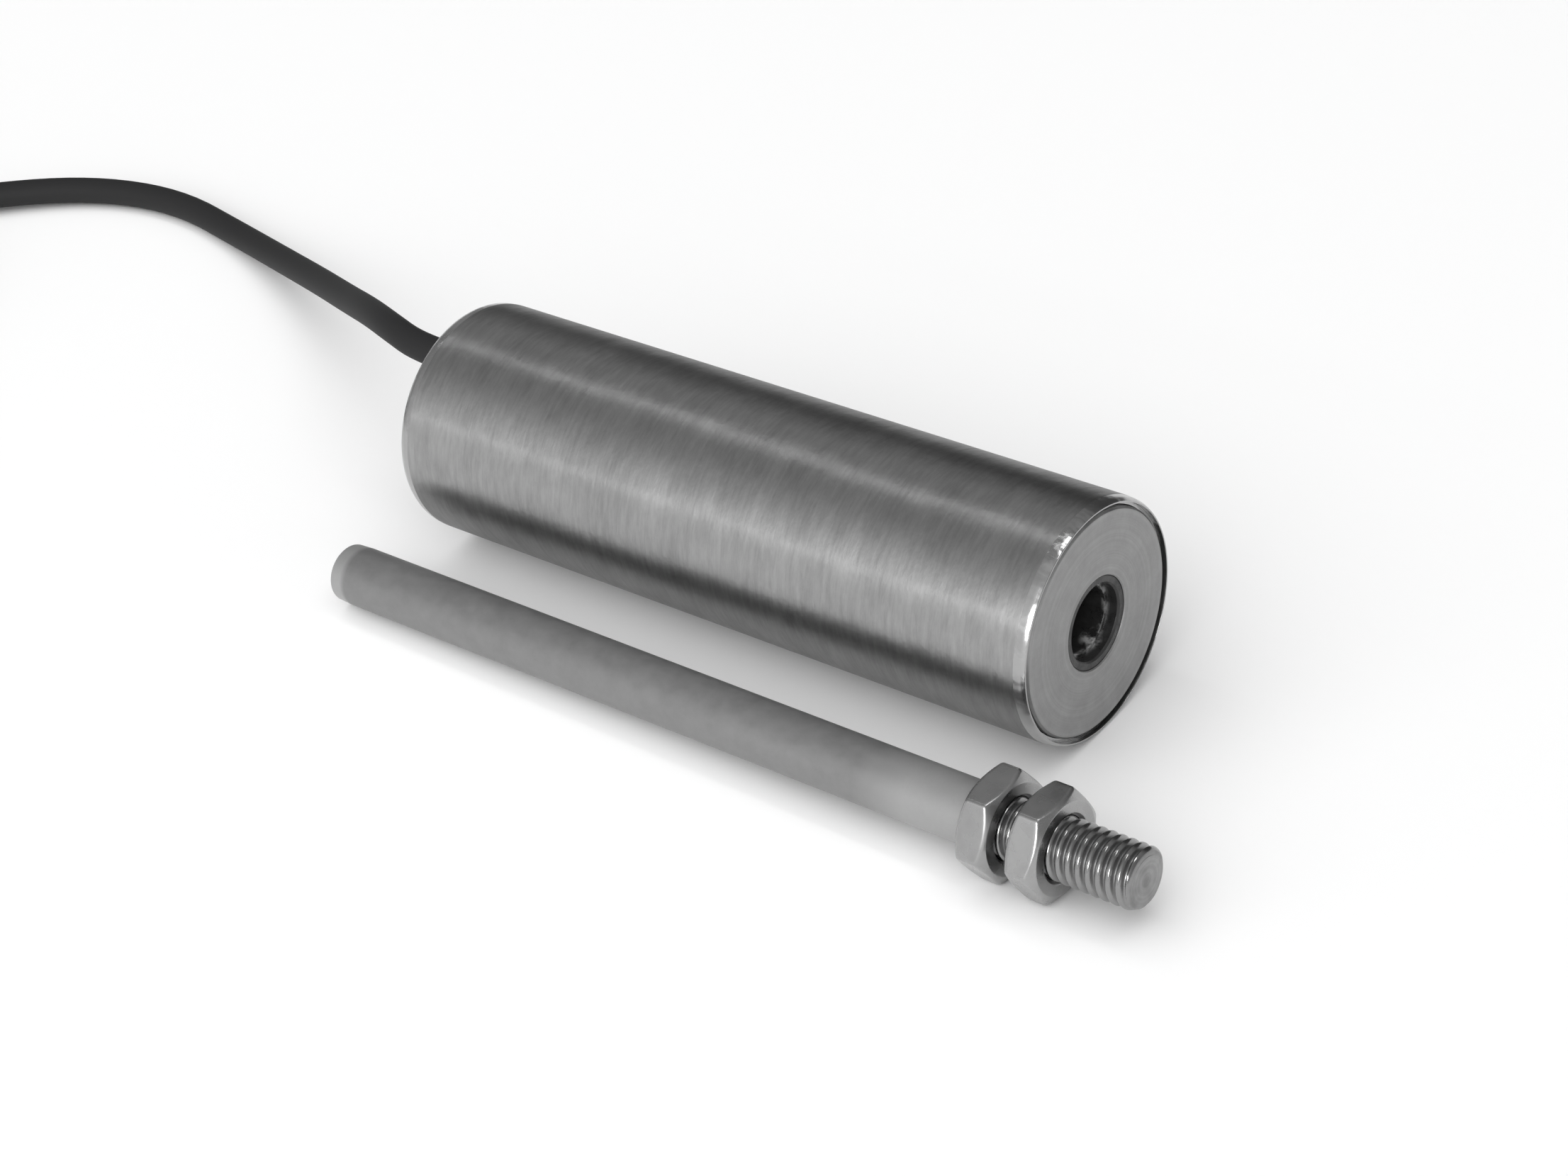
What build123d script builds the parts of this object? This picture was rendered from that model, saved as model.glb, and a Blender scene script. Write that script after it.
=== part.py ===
from build123d import *
from math import atan, cos, radians, sin, sqrt, tan
import os

# Linear variable inductive transducer: a round housing with a blind bore along its axis, and the
# core rod that works in that bore, laid beside it. Millimetres. +X is the bore's axis, out of its
# mouth, and +Z is up. The origin is on the axis, halfway along the housing, which lies on its side.

# Housing tube
housing_diameter = 31.75
housing_length = 101.6
housing_wall = 1.1
rim_rounding = 0.55
rim_groove_width = 0.475
rim_groove_depth = 0.9

# Discs that close the tube
disc_thickness = 3.0
disc_recess = 0.15
disc_edge_chamfer = 0.3
disc_hole_chamfer = 0.15

# Clearance of a piece that is pushed into or over another
seat_gap = 0.05

# Liner of the bore, with a wider mouth, and the cap over its inner end
liner_diameter = 12.1
liner_recess = 0.35
liner_end_gap = 4.1
bore_diameter = 8.8
mouth_diameter = 10.0
mouth_depth = 1.6
mouth_edge_chamfer = 0.25
cap_skirt = 3.0
cap_wall = 0.9
cap_floor = 1.2

# Seal between the liner and the front disc
seal_section = 1.6

# Moulded coil former with three flanges, its two windings and the sleeve around them. The flanges
# and the board's gaps below are shares of the room between the liner and the tube.
former_wall = 0.8
former_end_gap = 4.5
flange_height_share = 0.24
flange_thickness = 1.5
lead_slot_width = 1.6
winding_margin = 0.4
sleeve_thickness = 0.4

# Rings that carry the coil assembly and the board in the tube
carrier_thickness = 5.0
front_carrier_inset = 12.0
rear_carrier_inset = 3.0
wire_window_width = 6.4
wire_window_height = 1.2

# Circuit board above the sleeve, and what is soldered to it, at shares of its length from its middle
board_lift_share = 0.08
board_thickness = 1.0
board_rim_share = 0.18
board_seat_depth = 4.0
chip_length = 5.0
chip_width = 4.0
chip_height = 1.6
regulator_share = -0.233
regulator_length = 6.5
regulator_width = 3.6
regulator_height = 1.7
package_bevel = 0.27
capacitor_shares = (-0.34, -0.082, 0.082, 0.187)
capacitor_length = 3.2
capacitor_width = 1.6
capacitor_height = 1.4
resistor_length = 1.6
resistor_width = 0.8
resistor_height = 0.5
resistor_pitch = 3.0
resistor_columns = 6

# Cable, its grommet and the crimped ring that holds it
cable_diameter = 4.2
cable_offset_ratio = 0.56
grommet_wall = 1.1
grommet_flange_height = 1.0
grommet_flange_thickness = 1.2
relief_length = 3.5
relief_base_wall = 1.7
relief_tip_wall = 0.5
relief_band = 1.0
clamp_wall = 0.7
clamp_length = 1.2
conductor_diameter = 0.8
conductor_pitch = 0.9
conductor_run_out = 2.0
conductor_bend_gap = 1.8
coil_lead_diameter = 0.3
coil_lead_bend_gap = 1.2
coil_lead_overrun = 1.0

# Core: a plain rod with a threaded stud in its end and two nuts on the stud
rod_diameter = 8.13
rod_length = 107.4
rod_end_taper_length = 2.3
rod_end_taper_height = 0.12
stud_diameter = 7.94
stud_free_length = 22.85
stud_end_chamfer = 0.5
stud_shank_diameter = 5.0
stud_shank_length = 12.0
nut_across_flats = 12.7
nut_thickness = 4.4
nut_gap = 2.73
nut_face_ratio = 0.92
nut_chamfer_angle = 30.0
nut_cone_margin = 1.0
nut_bore_chamfer = 0.4
nut_turns = {"inner_nut": 2.5, "outer_nut": -2.5}

# Where the far end of the core lies, and how far its axis turns away from the housing's axis
core_end_x = -55.1
core_end_y = -25.1
core_yaw = -1.27

# The cable outside: the points that its route turns at, then a wound coil of the rest
cable_straight = 6.05
cable_route = [
    (-67.5, 2.3, 8.1),
    (-77.5, 7.5, 4.9),
    (-90.0, 14.5, -0.5),
    (-104.0, 21.7, -5.5),
    (-120.5, 29.0, -10.3),
    (-138.0, 35.4, -13.775),
    (-156.0, 38.9, -13.775),
    (-172.5, 35.6, -13.6),
    (-187.0, 25.8, -13.0),
    (-201.4, 12.4, -13.0),
]
coil_centre_x = -196.8
coil_centre_y = -19.7
coil_inner_radius = 14.75
coil_outer_radius = 32.55
coil_rounding = 2.0
coil_slack = 0.2
cable_tail = [
    (-210.9, -49.0, -8.8),
    (-202.4, -58.1, -10.4),
    (-190.0, -61.9, -12.8),
    (-177.3, -59.0, -13.775),
    (-167.1, -51.0, -13.775),
]
tie_width = 3.6
tie_thickness = 0.8
tie_angle = 200.0
tie_head_length = 5.6
tie_head_width = 5.8
tie_head_height = 3.6
tie_head_rounding = 0.6
tie_stub_length = 1.5

# Loose conductors at the cable's end
lead_diameter = 1.1
lead_pitch = 1.2
lead_length = 18.0
lead_straight = 4.0
lead_spread = 4.0
lead_drop = 1.1
tip_diameter = 0.8
tip_length = 6.0

# Places along the axis and radii that follow from the sizes above
rear_x = -housing_length / 2
front_x = housing_length / 2
inner_radius = housing_diameter / 2 - housing_wall
disc_radius = inner_radius - seat_gap
front_disc_back_x = front_x - disc_recess - disc_thickness
rear_disc_front_x = rear_x + disc_recess + disc_thickness
floor_z = -housing_diameter / 2

liner_radius = liner_diameter / 2
liner_front_x = front_x - liner_recess
liner_rear_x = rear_disc_front_x + liner_end_gap
liner_length = liner_front_x - liner_rear_x
coil_room = inner_radius - liner_radius
seal_pocket_radius = liner_radius + 2 * seat_gap + seal_section
seal_x = front_disc_back_x + seat_gap + seal_section / 2

former_bore_radius = liner_radius + seat_gap
former_radius = former_bore_radius + former_wall
flange_height = flange_height_share * coil_room
flange_radius = former_radius + flange_height
former_front_x = front_disc_back_x - seat_gap
former_rear_x = liner_rear_x + former_end_gap
former_length = former_front_x - former_rear_x
former_middle_x = (former_front_x + former_rear_x) / 2
sleeve_bore_radius = flange_radius + seat_gap
sleeve_radius = sleeve_bore_radius + sleeve_thickness
flange_places = [
    former_rear_x,
    former_middle_x - flange_thickness / 2,
    former_front_x - flange_thickness,
]

front_carrier_x = former_front_x - front_carrier_inset - carrier_thickness
rear_carrier_x = former_rear_x + rear_carrier_inset
board_bottom_z = sleeve_radius + board_lift_share * coil_room
board_top_z = board_bottom_z + board_thickness
board_reach = inner_radius - board_rim_share * coil_room
board_width = 2 * sqrt(board_reach**2 - board_top_z**2)
board_rear_x = rear_carrier_x + carrier_thickness - board_seat_depth
board_front_x = front_carrier_x + board_seat_depth
board_length = board_front_x - board_rear_x

cable_radius = cable_diameter / 2
cable_z = cable_offset_ratio * inner_radius
grommet_bore_radius = cable_radius + seat_gap
grommet_radius = grommet_bore_radius + grommet_wall
grommet_front_x = rear_disc_front_x + grommet_flange_thickness
relief_rear_x = rear_x + disc_recess - relief_length
cable_inner_x = grommet_front_x + clamp_length
cable_start = [(relief_rear_x, 0, cable_z), (relief_rear_x - cable_straight, 0, cable_z)]
coil_bottom_z = floor_z + tie_thickness + seat_gap
coil_height = 2 * cable_diameter + coil_slack
lead_start = Vector(*cable_tail[-1])

rod_radius = rod_diameter / 2
stud_radius = stud_diameter / 2
nut_corner_radius = nut_across_flats / sqrt(3)
nut_turn = radians(abs(nut_turns["inner_nut"]))
nut_face_radius = nut_face_ratio * nut_across_flats / 2
nut_corner_drop = (nut_corner_radius - nut_face_radius) * tan(radians(nut_chamfer_angle))
nut_height = nut_corner_radius * cos(radians(30) - nut_turn)
nut_places = {"inner_nut": rod_length, "outer_nut": rod_length + nut_thickness + nut_gap}

# The core rests on the far end of its rod and on the inner nut, so its axis climbs to the nut
core_span = rod_length + nut_corner_drop - rod_end_taper_length
core_tilt = atan((nut_height - rod_radius) / core_span)
core_end_z = floor_z + rod_radius * cos(core_tilt) - rod_end_taper_length * sin(core_tilt)
core_direction = Vector(
    cos(core_tilt) * cos(radians(core_yaw)),
    cos(core_tilt) * sin(radians(core_yaw)),
    sin(core_tilt),
)
core_end = Vector(core_end_x, core_end_y, core_end_z)
core_plane = Plane(
    origin=core_end,
    x_dir=(-sin(radians(core_yaw)), cos(radians(core_yaw)), 0),
    z_dir=core_direction,
)
core_lengthwise = Plane(origin=core_end, x_dir=core_direction, z_dir=core_plane.x_dir)
core_axis = Axis(core_end, core_direction)

os.makedirs("parts", exist_ok=True)


def save(piece, name):
    """Labels a finished piece and writes it."""
    piece.part.label = name
    export_step(piece.part, f"parts/{name}.step")


def arc_radii(points):
    """The largest even arc at each corner of a route: 0.45 of the shorter run, over tan(turn / 2)."""
    radii = []
    corners = [Vector(*point) for point in points]
    for before, corner, after in zip(corners, corners[1:], corners[2:]):
        run_in = corner - before
        run_out = after - corner
        turn = radians(run_in.get_angle(run_out))
        radii.append(0.45 * min(run_in.length, run_out.length) / tan(turn / 2))
    return radii


def round_tube(points, diameter):
    """A solid round tube along straight runs joined by tangent arcs."""
    with BuildPart() as tube:
        with BuildLine() as path:
            if len(points) > 2:
                FilletPolyline(*points, radius=arc_radii(points))
            else:
                Line(*points)
        with BuildSketch(Plane(origin=path.wire() @ 0, z_dir=path.wire() % 0)):
            Circle(diameter / 2)
        sweep()
    return tube


# Housing tube: drawn tube, its outer edges rounded over, its inner edges stepped back from the discs
with BuildPart() as housing_tube:
    with BuildSketch(Plane.YZ.offset(rear_x)):
        Circle(housing_diameter / 2)
        Circle(inner_radius, mode=Mode.SUBTRACT)
    extrude(amount=housing_length)
    for groove_x in (rear_x, front_x - rim_groove_depth):
        with BuildSketch(Plane.YZ.offset(groove_x)):
            Circle(inner_radius + rim_groove_width)
        extrude(amount=rim_groove_depth, mode=Mode.SUBTRACT)
    rims = housing_tube.edges().filter_by(GeomType.CIRCLE).group_by(SortBy.RADIUS)[-1]
    fillet(rims, rim_rounding)
save(housing_tube, "housing_tube")

# Front disc: turned disc a little below the rim, with the liner's hole and a pocket for the seal
with BuildPart() as front_end_disc:
    with BuildSketch(Plane.YZ.offset(front_disc_back_x)):
        Circle(disc_radius)
        Circle(liner_radius + seat_gap, mode=Mode.SUBTRACT)
    extrude(amount=disc_thickness)
    front_edges = front_end_disc.edges().filter_by(GeomType.CIRCLE).group_by(Axis.X)[-1]
    chamfer(front_edges.sort_by(SortBy.RADIUS)[-1], disc_edge_chamfer)
    chamfer(front_edges.sort_by(SortBy.RADIUS)[0], disc_hole_chamfer)
    with BuildSketch(Plane.YZ.offset(front_disc_back_x)):
        Circle(seal_pocket_radius)
    extrude(amount=2 * seat_gap + seal_section, mode=Mode.SUBTRACT)
save(front_end_disc, "front_end_disc")

# Rear disc: closed over the bore, with the cable's hole off the centre
with BuildPart() as rear_end_disc:
    with BuildSketch(Plane.YZ.offset(rear_x + disc_recess)):
        Circle(disc_radius)
        with Locations((0, cable_z)):
            Circle(grommet_radius + seat_gap, mode=Mode.SUBTRACT)
    extrude(amount=disc_thickness)
    rear_edges = rear_end_disc.edges().filter_by(GeomType.CIRCLE).group_by(Axis.X)[0]
    chamfer(rear_edges.sort_by(SortBy.RADIUS)[-1], disc_edge_chamfer)
save(rear_end_disc, "rear_end_disc")

# Liner: dark tube that guides the core, with a wider mouth and a step behind it
with BuildPart() as bore_liner:
    with BuildSketch(Plane.YZ.offset(liner_rear_x)):
        Circle(liner_radius)
        Circle(bore_diameter / 2, mode=Mode.SUBTRACT)
    extrude(amount=liner_length)
    with BuildSketch(Plane.YZ.offset(liner_front_x - mouth_depth)):
        Circle(mouth_diameter / 2)
    extrude(amount=mouth_depth, mode=Mode.SUBTRACT)
    mouth_edges = bore_liner.edges().filter_by(GeomType.CIRCLE).group_by(Axis.X)[-1]
    chamfer(mouth_edges.sort_by(SortBy.RADIUS)[0], mouth_edge_chamfer)
save(bore_liner, "bore_liner")

# Cap: closes the liner's inner end, its floor face to face with the liner, its skirt around it
with BuildPart() as bore_end_cap:
    with BuildSketch(Plane.YZ.offset(liner_rear_x - cap_floor)):
        Circle(liner_radius + seat_gap + cap_wall)
    extrude(amount=cap_floor + cap_skirt)
    with BuildSketch(Plane.YZ.offset(liner_rear_x)):
        Circle(liner_radius + seat_gap)
    extrude(amount=cap_skirt, mode=Mode.SUBTRACT)
save(bore_end_cap, "bore_end_cap")

# Seal ring: round rubber ring around the liner, in the front disc's pocket
with BuildPart() as liner_seal_ring:
    with BuildSketch(Plane.XZ):
        with Locations((seal_x, liner_radius + seat_gap + seal_section / 2)):
            Circle(seal_section / 2)
    revolve(axis=Axis.X)
save(liner_seal_ring, "liner_seal_ring")

# Coil former: one moulded bobbin, turned section with three flanges, and a lead slot through them
with BuildPart() as coil_former:
    with BuildSketch(Plane.XZ):
        with Locations((former_middle_x, (former_bore_radius + former_radius) / 2)):
            Rectangle(former_length, former_wall)
        for place in flange_places:
            with Locations((place + flange_thickness / 2, (former_bore_radius + flange_radius) / 2)):
                Rectangle(flange_thickness, flange_radius - former_bore_radius)
    revolve(axis=Axis.X)
    with BuildSketch(Plane.YZ.offset(former_rear_x)):
        with Locations((0, former_radius + flange_height / 2)):
            Rectangle(lead_slot_width, flange_height + seat_gap)
    extrude(amount=former_length, mode=Mode.SUBTRACT)
save(coil_former, "coil_former")

# Windings: enamelled wire in the two chambers of the former
winding_length = former_middle_x - former_rear_x - 1.5 * flange_thickness - 2 * seat_gap
winding_starts = {
    "rear_winding": former_rear_x + flange_thickness + seat_gap,
    "front_winding": former_middle_x + flange_thickness / 2 + seat_gap,
}
for winding_name, winding_x in winding_starts.items():
    with BuildPart() as winding:
        with BuildSketch(Plane.YZ.offset(winding_x)):
            Circle(flange_radius - winding_margin)
            Circle(former_radius + seat_gap, mode=Mode.SUBTRACT)
        extrude(amount=winding_length)
    save(winding, winding_name)

# Sleeve: thin rolled metal tube that shields the windings
with BuildPart() as shield_sleeve:
    with BuildSketch(Plane.YZ.offset(former_rear_x)):
        Circle(sleeve_radius)
        Circle(sleeve_bore_radius, mode=Mode.SUBTRACT)
    extrude(amount=former_length)
save(shield_sleeve, "shield_sleeve")

# Carrier rings: moulded rings between the sleeve and the tube, slotted for the board and its wires
slot_width = board_width + 2 * seat_gap
slot_height = board_thickness + 2 * seat_gap
carrier_starts = {"front_carrier": front_carrier_x, "rear_carrier": rear_carrier_x}
for carrier_name, carrier_x in carrier_starts.items():
    with BuildPart() as carrier:
        with BuildSketch(Plane.YZ.offset(carrier_x)):
            Circle(disc_radius)
            Circle(sleeve_radius + seat_gap, mode=Mode.SUBTRACT)
            with Locations((0, (board_bottom_z + board_top_z) / 2)):
                Rectangle(slot_width, slot_height, mode=Mode.SUBTRACT)
            with Locations((0, board_top_z + wire_window_height / 2)):
                Rectangle(wire_window_width, wire_window_height, mode=Mode.SUBTRACT)
        extrude(amount=carrier_thickness)
    save(carrier, carrier_name)

# Circuit board: flat board held by both carrier rings, above the sleeve
with BuildPart() as circuit_board:
    with BuildSketch(Plane.XY.offset(board_bottom_z)):
        with Locations(((board_rear_x + board_front_x) / 2, 0)):
            Rectangle(board_length, board_width)
    extrude(amount=board_thickness)
save(circuit_board, "circuit_board")

board_surface = Plane.XY.offset(board_top_z)
board_middle_x = (board_rear_x + board_front_x) / 2

# Signal chip: flat package with a bevelled rim, in the middle of the board
with BuildPart() as signal_chip:
    with BuildSketch(board_surface):
        with Locations((board_middle_x, 0)):
            Rectangle(chip_length, chip_width)
    extrude(amount=chip_height)
    chamfer(signal_chip.faces().sort_by(Axis.Z)[-1].edges(), package_bevel)
save(signal_chip, "signal_chip")

# Voltage regulator: larger package behind the chip, towards the supply wires
with BuildPart() as voltage_regulator:
    with BuildSketch(board_surface):
        with Locations((board_middle_x + regulator_share * board_length, 0)):
            Rectangle(regulator_length, regulator_width)
    extrude(amount=regulator_height)
    chamfer(voltage_regulator.faces().sort_by(Axis.Z)[-1].edges(), package_bevel)
save(voltage_regulator, "voltage_regulator")

# Capacitors: in line with the chip and the regulator
capacitor_places = [(board_middle_x + share * board_length, 0) for share in capacitor_shares]
with BuildPart() as board_capacitors:
    with BuildSketch(board_surface):
        with Locations(*capacitor_places):
            Rectangle(capacitor_length, capacitor_width)
    extrude(amount=capacitor_height)
save(board_capacitors, "board_capacitors")

# Resistors: a row along each side of the chip
with BuildPart() as board_resistors:
    with BuildSketch(board_surface):
        with Locations((board_middle_x, 0)):
            with GridLocations(resistor_pitch, chip_width + 3 * resistor_width, resistor_columns, 2):
                Rectangle(resistor_length, resistor_width)
    extrude(amount=resistor_height)
save(board_resistors, "board_resistors")

# Grommet: moulded rubber, with an inner flange, a neck in the disc and a tapered strain relief
relief_front_x = rear_x + disc_recess - seat_gap
grommet_outline = [
    (relief_rear_x, grommet_bore_radius),
    (relief_rear_x, grommet_bore_radius + relief_tip_wall),
    (relief_front_x - relief_band, grommet_bore_radius + relief_base_wall),
    (relief_front_x, grommet_bore_radius + relief_base_wall),
    (relief_front_x, grommet_radius),
    (rear_disc_front_x + seat_gap, grommet_radius),
    (rear_disc_front_x + seat_gap, grommet_radius + grommet_flange_height),
    (grommet_front_x, grommet_radius + grommet_flange_height),
    (grommet_front_x, grommet_bore_radius),
]
cable_plane = Plane(origin=(0, 0, cable_z), x_dir=(1, 0, 0), z_dir=(0, -1, 0))
with BuildPart() as cable_grommet:
    with BuildSketch(cable_plane):
        with BuildLine():
            Polyline(*grommet_outline, close=True)
        make_face()
    revolve(axis=Axis((0, 0, cable_z), (1, 0, 0)))
save(cable_grommet, "cable_grommet")

# Jacketed stretch of the cable inside the grommet, and the crimped ring that stops it pulling out
with BuildPart() as cable_entry:
    with BuildSketch(Plane.YZ.offset(relief_rear_x)):
        with Locations((0, cable_z)):
            Circle(cable_radius)
    extrude(amount=cable_inner_x - relief_rear_x)
save(cable_entry, "cable_entry")

with BuildPart() as cable_clamp:
    with BuildSketch(Plane.YZ.offset(grommet_front_x)):
        with Locations((0, cable_z)):
            Circle(grommet_bore_radius + clamp_wall)
            Circle(grommet_bore_radius, mode=Mode.SUBTRACT)
    extrude(amount=clamp_length)
save(cable_clamp, "cable_clamp")

# Supply wires: three insulated conductors from the jacket's end, over the carrier to the board
wire_z = board_top_z + conductor_diameter / 2 + seat_gap
supply_end_x = rear_carrier_x + carrier_thickness + 3 * conductor_diameter
supply_parts = []
for place in (-1, 0, 1):
    wire_y = place * conductor_pitch
    supply_route = [
        (cable_inner_x, wire_y, cable_z),
        (cable_inner_x + conductor_run_out, wire_y, cable_z),
        (former_rear_x - conductor_bend_gap, wire_y, wire_z),
        (supply_end_x, wire_y, wire_z),
    ]
    supply_parts.append(round_tube(supply_route, conductor_diameter).part)
with BuildPart() as supply_wires:
    add(supply_parts)
save(supply_wires, "supply_wires")

# Coil leads: two enamelled wires from the rear flange's slot up to the board
lead_z = board_top_z + coil_lead_diameter / 2 + seat_gap
slot_z = former_radius + flange_height / 3
lead_parts = []
for side in (-1, 1):
    slot_y = side * lead_slot_width / 4
    window_y = side * (wire_window_width / 2 - 2 * coil_lead_diameter)
    coil_lead_route = [
        (former_rear_x + flange_thickness, slot_y, slot_z),
        (former_rear_x - coil_lead_bend_gap, slot_y, slot_z),
        (former_rear_x - coil_lead_bend_gap, window_y, lead_z),
        (supply_end_x + coil_lead_overrun, window_y, lead_z),
    ]
    lead_parts.append(round_tube(coil_lead_route, coil_lead_diameter).part)
with BuildPart() as coil_leads:
    add(lead_parts)
save(coil_leads, "coil_leads")

# Core rod: plain rod, its far end turned to a short taper, drilled for the stud at the other end
with BuildPart() as core_rod:
    with BuildSketch(core_plane):
        Circle(rod_radius)
    extrude(amount=rod_length)
    far_edge = core_rod.edges().filter_by(GeomType.CIRCLE).sort_by(core_axis)[0]
    far_face = core_rod.faces().sort_by(core_axis)[0]
    chamfer(far_edge, rod_end_taper_height, rod_end_taper_length, reference=far_face)
    with BuildSketch(core_plane.offset(rod_length - stud_shank_length - 2 * seat_gap)):
        Circle(stud_shank_diameter / 2 + seat_gap)
    extrude(amount=stud_shank_length + 2 * seat_gap, mode=Mode.SUBTRACT)
save(core_rod, "core_rod")

# Threaded stud: full thread to its chamfered tip, on a shank in the rod
with BuildPart() as threaded_stud:
    with BuildSketch(core_plane.offset(rod_length - stud_shank_length)):
        Circle(stud_shank_diameter / 2)
    extrude(amount=stud_shank_length)
    with BuildSketch(core_plane.offset(rod_length)):
        Circle(stud_radius)
    extrude(amount=stud_free_length)
    tip_edge = threaded_stud.edges().filter_by(GeomType.CIRCLE).sort_by(core_axis)[-1]
    chamfer(tip_edge, stud_end_chamfer)
save(threaded_stud, "threaded_stud")

# Nuts: hexagons whose corners a cone cuts back on both faces, with a clear hole over the thread
# that is countersunk at both ends
cone_radius = nut_corner_radius + nut_cone_margin
cone_drop = (cone_radius - nut_face_radius) * tan(radians(nut_chamfer_angle))
for nut_name, nut_place in nut_places.items():
    cone_profile = [
        (nut_place, 0),
        (nut_place, nut_face_radius),
        (nut_place + cone_drop, cone_radius),
        (nut_place + nut_thickness - cone_drop, cone_radius),
        (nut_place + nut_thickness, nut_face_radius),
        (nut_place + nut_thickness, 0),
    ]
    with BuildPart() as nut:
        with BuildSketch(core_plane.offset(nut_place)):
            RegularPolygon(
                nut_across_flats / 2, 6, major_radius=False, rotation=nut_turns[nut_name]
            )
        extrude(amount=nut_thickness)
        with BuildSketch(core_lengthwise):
            with BuildLine():
                Polyline(*cone_profile, close=True)
            make_face()
        revolve(axis=core_axis, mode=Mode.INTERSECT)
        with BuildSketch(core_plane.offset(nut_place)):
            Circle(stud_radius + seat_gap)
        extrude(amount=nut_thickness, mode=Mode.SUBTRACT)
        bore_edges = nut.edges().filter_by(GeomType.CIRCLE).group_by(SortBy.RADIUS)[0]
        chamfer(bore_edges, nut_bore_chamfer)
    save(nut, nut_name)

# Cable: the stretch that lies open, then a coil of the rest and its short tail
cable_points = cable_start + cable_route
print("cable radii", [round(radius, 1) for radius in arc_radii(cable_points)])
save(round_tube(cable_points, cable_diameter), "cable")

print("tail radii", [round(radius, 1) for radius in arc_radii(cable_tail)])
save(round_tube(cable_tail, cable_diameter), "cable_tail")

coil_plane = Plane(
    origin=(coil_centre_x, coil_centre_y, 0), x_dir=(1, 0, 0), z_dir=(0, -1, 0)
)
coil_middle_radius = (coil_inner_radius + coil_outer_radius) / 2
coil_middle_z = coil_bottom_z + coil_height / 2
with BuildPart() as cable_coil:
    with BuildSketch(coil_plane):
        with Locations((coil_middle_radius, coil_middle_z)):
            RectangleRounded(coil_outer_radius - coil_inner_radius, coil_height, coil_rounding)
    revolve(axis=Axis((coil_centre_x, coil_centre_y, 0), (0, 0, 1)))
save(cable_coil, "cable_coil")

# Tie: a strap around the coil's turns, flat on the floor under them, its head on top with the end
# of the strap cut off beside it
tie_plane = Plane.XZ.rotated((0, 0, tie_angle))
tie_plane = Plane(
    origin=(coil_centre_x, coil_centre_y, 0), x_dir=tie_plane.x_dir, z_dir=tie_plane.z_dir
)
tie_side_gap = tie_width**2 / (8 * coil_inner_radius) + seat_gap
strap_inner_width = coil_outer_radius - coil_inner_radius + 2 * tie_side_gap
strap_inner_height = coil_height + 2 * seat_gap
tie_head_z = coil_middle_z + strap_inner_height / 2 + tie_thickness + tie_head_height / 2
with BuildPart() as cable_tie:
    with BuildSketch(tie_plane):
        with Locations((coil_middle_radius, coil_middle_z)):
            RectangleRounded(
                strap_inner_width + 2 * tie_thickness,
                strap_inner_height + 2 * tie_thickness,
                coil_rounding + tie_thickness,
            )
            RectangleRounded(
                strap_inner_width, strap_inner_height, coil_rounding, mode=Mode.SUBTRACT
            )
    extrude(amount=tie_width / 2, both=True)
    with BuildSketch(tie_plane):
        with Locations((coil_middle_radius, tie_head_z)):
            Rectangle(tie_head_length, tie_head_height)
    extrude(amount=tie_head_width / 2, both=True)
    fillet(cable_tie.faces().sort_by(Axis.Z)[-1].edges(), tie_head_rounding)
    with BuildSketch(tie_plane):
        with Locations((coil_middle_radius + tie_head_length / 2, tie_head_z)):
            Rectangle(2 * tie_stub_length, tie_thickness)
    extrude(amount=tie_width / 2, both=True)
save(cable_tie, "cable_tie")

# Loose conductors: three insulated wires that part from the jacket's end, with bare tips
tail_heading = (lead_start - Vector(*cable_tail[-2])).normalized()
heading = Vector(tail_heading.X, tail_heading.Y, 0).normalized()
sideways = Vector(-heading.Y, heading.X, 0)
wire_parts = []
tip_parts = []
for place in (-1, 0, 1):
    start = lead_start + sideways * (place * lead_pitch)
    bend = start + heading * lead_straight
    end = bend + heading * (lead_length - lead_straight) + sideways * (place * lead_spread)
    end = end - Vector(0, 0, lead_drop)
    tip = end + (end - bend).normalized() * tip_length
    wire_parts.append(round_tube([start, bend, end], lead_diameter).part)
    tip_parts.append(round_tube([end, tip], tip_diameter).part)
with BuildPart() as lead_wires:
    add(wire_parts)
save(lead_wires, "lead_wires")
with BuildPart() as lead_tips:
    add(tip_parts)
save(lead_tips, "lead_tips")
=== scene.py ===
import bmesh
import bpy
import numpy as np
from mathutils import Matrix
from math import radians


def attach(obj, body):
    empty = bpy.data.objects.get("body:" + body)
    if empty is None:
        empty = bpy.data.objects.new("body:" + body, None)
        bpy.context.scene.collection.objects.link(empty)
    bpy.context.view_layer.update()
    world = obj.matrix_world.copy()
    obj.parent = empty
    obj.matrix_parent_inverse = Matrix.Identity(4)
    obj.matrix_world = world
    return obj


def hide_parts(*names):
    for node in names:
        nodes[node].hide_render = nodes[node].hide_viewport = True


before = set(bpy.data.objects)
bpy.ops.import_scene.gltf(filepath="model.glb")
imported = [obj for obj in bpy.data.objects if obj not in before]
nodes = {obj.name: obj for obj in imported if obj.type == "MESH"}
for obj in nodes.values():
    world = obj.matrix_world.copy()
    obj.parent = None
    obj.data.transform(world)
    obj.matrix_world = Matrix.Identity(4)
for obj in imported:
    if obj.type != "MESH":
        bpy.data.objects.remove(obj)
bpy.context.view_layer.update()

# Housing tube: drawn stainless steel tube, polished with a belt while it turned, so its fine
# scratches run around it. Its rims are rounded over by hand and catch the light.
mm = 0.001


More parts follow.
